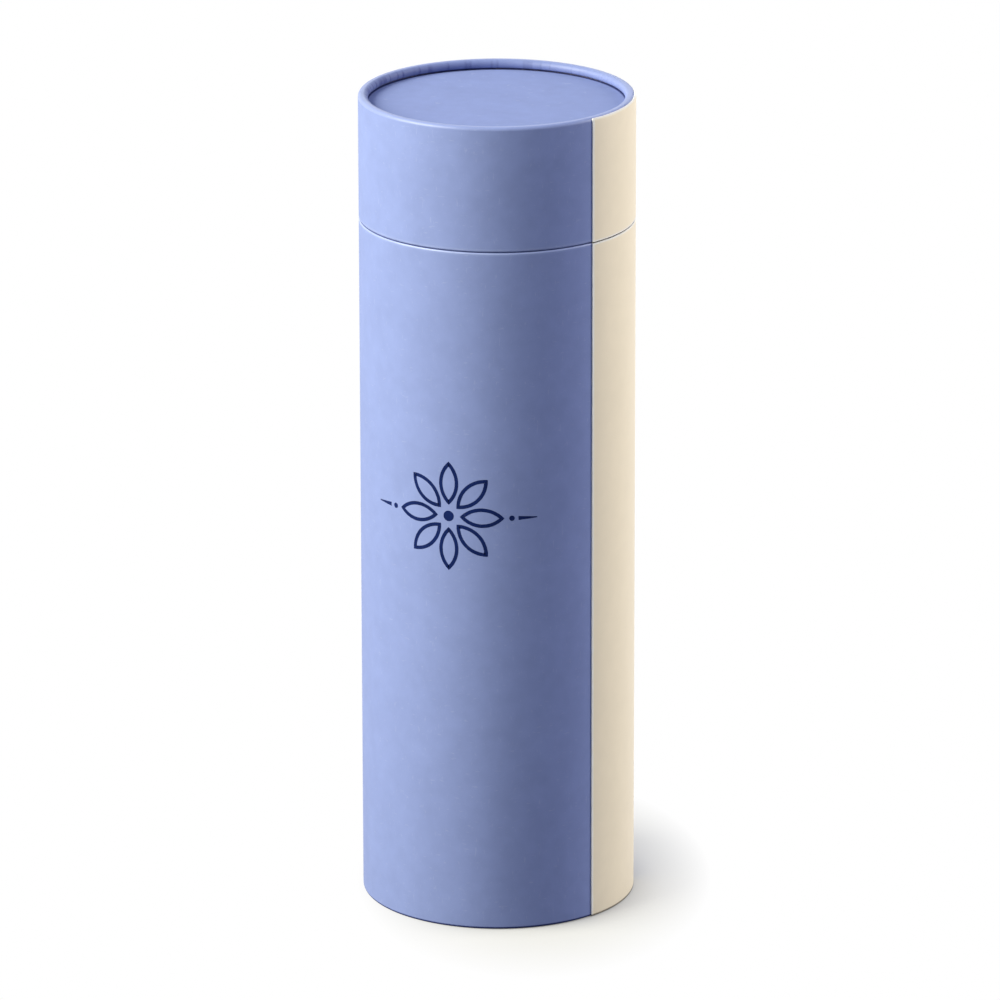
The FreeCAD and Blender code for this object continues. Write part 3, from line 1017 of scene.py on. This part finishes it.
def floor_finish():
    """A matte floor with a faint glow of its own, which fades to plain white."""
    material, tree, shader = new_finish("floor")
    white = shows_white(tree)
    tone = spread(tree, white, 0.0, 1.0, FLOOR_BOUNCE, FLOOR_TONE)
    # Ambient occlusion dims the floor's glow near the foot: a painted contact shadow.
    near = add(tree, "AmbientOcclusion", Distance=CONTACT_REACH).outputs["AO"]
    lift = compute(tree, "MULTIPLY", white, compute(tree, "MULTIPLY", near, FLOOR_LIFT))
    fill(tree, shader, Base_Color=tone, Roughness=1.0, Specular_IOR_Level=0.0)
    fill(tree, shader, Emission_Color=FLOOR_WARMTH, Emission_Strength=lift)
    glow = add(tree, "Emission", Color=WHITE, Strength=1.0)
    mix = add(tree, "MixShader", Fac=compute(tree, "MULTIPLY", pool_fade(tree), white))
    link(tree, mix.inputs[1], tree.nodes["Principled BSDF"].outputs["BSDF"])
    link(tree, mix.inputs[2], glow.outputs["Emission"])
    link(tree, tree.nodes["Material Output"].inputs["Surface"], mix.outputs["Shader"])
    return material


def make_floor():
    """A wide round floor, which is part of the stage and not of the box."""
    mesh = bmesh.new()
    bmesh.ops.create_circle(mesh, cap_ends=True, radius=FLOOR_RADIUS, segments=FLOOR_SEGMENTS)
    data = bpy.data.meshes.new("floor")
    mesh.to_mesh(data)
    mesh.free()
    data.materials.append(floor_finish())
    floor = show("floor", data)


make_floor()

# %% Sky
SKY_TONE, SKY_FILL = (0.16, 0.36, 1.0, 1), 0.19


def make_sky():
    """A world that lights the box with a cool tone and shows as white."""
    world = bpy.data.worlds.new("sky")
    world.use_nodes = True
    tree = world.node_tree
    white = shows_white(tree)
    colour = blend(tree, white, SKY_TONE, WHITE)
    strength = spread(tree, white, 0.0, 1.0, SKY_FILL, 1.0)
    fill(tree, tree.nodes["Background"].inputs, Color=colour, Strength=strength)
    bpy.context.scene.world = world


make_sky()
print("sky fill", SKY_FILL)

# %% [markdown]
# ## The lamps
#
# In the photo the blue is brightest near its left edge and falls off to the right, and the stripe,
# which faces right, is bright again. So a warm lamp high on the left models the round, and a second
# one on the right lights the stripe. Both are large areas, because the shadows have soft edges.

# %% Lamps
MIDDLE = Vector((0, 0, CROWN / 2))
LAMP_DISTANCE = 1.6
KEY_TONE, FILL_TONE = (1.0, 0.975, 0.79), (1.0, 0.96, 0.87)


def lamp(name, azimuth, elevation, width, height, power, tone):
    """A soft box that faces the middle of the tube, placed by its bearing from the camera."""
    data = bpy.data.lights.new(name, "AREA")
    data.shape = "RECTANGLE"
    data.size = width
    data.size_y = height
    data.energy = power
    data.color = tone
    made = show(name, data)
    out = towards(CAMERA_AZIMUTH + azimuth, elevation)
    made.location = MIDDLE + out * LAMP_DISTANCE
    made.rotation_mode = "QUATERNION"
    made.rotation_quaternion = (-out).to_track_quat("-Z", "Y")
    print("lamp", name, power, "W")


lamp("key", azimuth=-70.0, elevation=33.0, width=1.2, height=1.1, power=53.0, tone=KEY_TONE)
lamp("fill", azimuth=98.0, elevation=18.0, width=0.8, height=1.6, power=26.5, tone=FILL_TONE)

# %% [markdown]
# ## The camera
#
# In the photo the tube's two sides are all but parallel, so the camera stands far off with a long
# lens. The rim's ellipse gives its height, the place of the stripe gives its bearing, and the
# outline gives the rest.

# %% Camera
CAMERA_PITCH, CAMERA_ROLL = 17.556, -0.1
CAMERA_OUT, CAMERA_UP = 56.0 * TUBE, 20.7 * TUBE
CAMERA_ASIDE = 1.01 * MM
CAMERA_LENS, CAMERA_SENSOR = 288.55, 36.0
CAMERA_SEES = 50.0


def rotation(degrees, axis):
    """A turn about one axis."""
    return Matrix.Rotation(math.radians(degrees), 3, axis)


def make_camera():
    """A camera that is turned to its bearing, tilted down and rolled a touch."""
    data = bpy.data.cameras.new("camera")
    data.lens = CAMERA_LENS
    data.sensor_width = CAMERA_SENSOR
    data.clip_end = CAMERA_SEES
    made = show("camera", data)
    made.location = FRONT * CAMERA_OUT + RIGHT * CAMERA_ASIDE + UP * CAMERA_UP
    turn, tilt = rotation(CAMERA_AZIMUTH, "Z"), rotation(QUARTER - CAMERA_PITCH, "X")
    made.rotation_euler = (turn @ tilt @ rotation(CAMERA_ROLL, "Z")).to_euler()
    bpy.context.scene.camera = made
    print(f"camera {made.location.length:.2f} m away, lens {CAMERA_LENS} mm")


make_camera()
bpy.context.scene.view_settings.view_transform = "Standard"
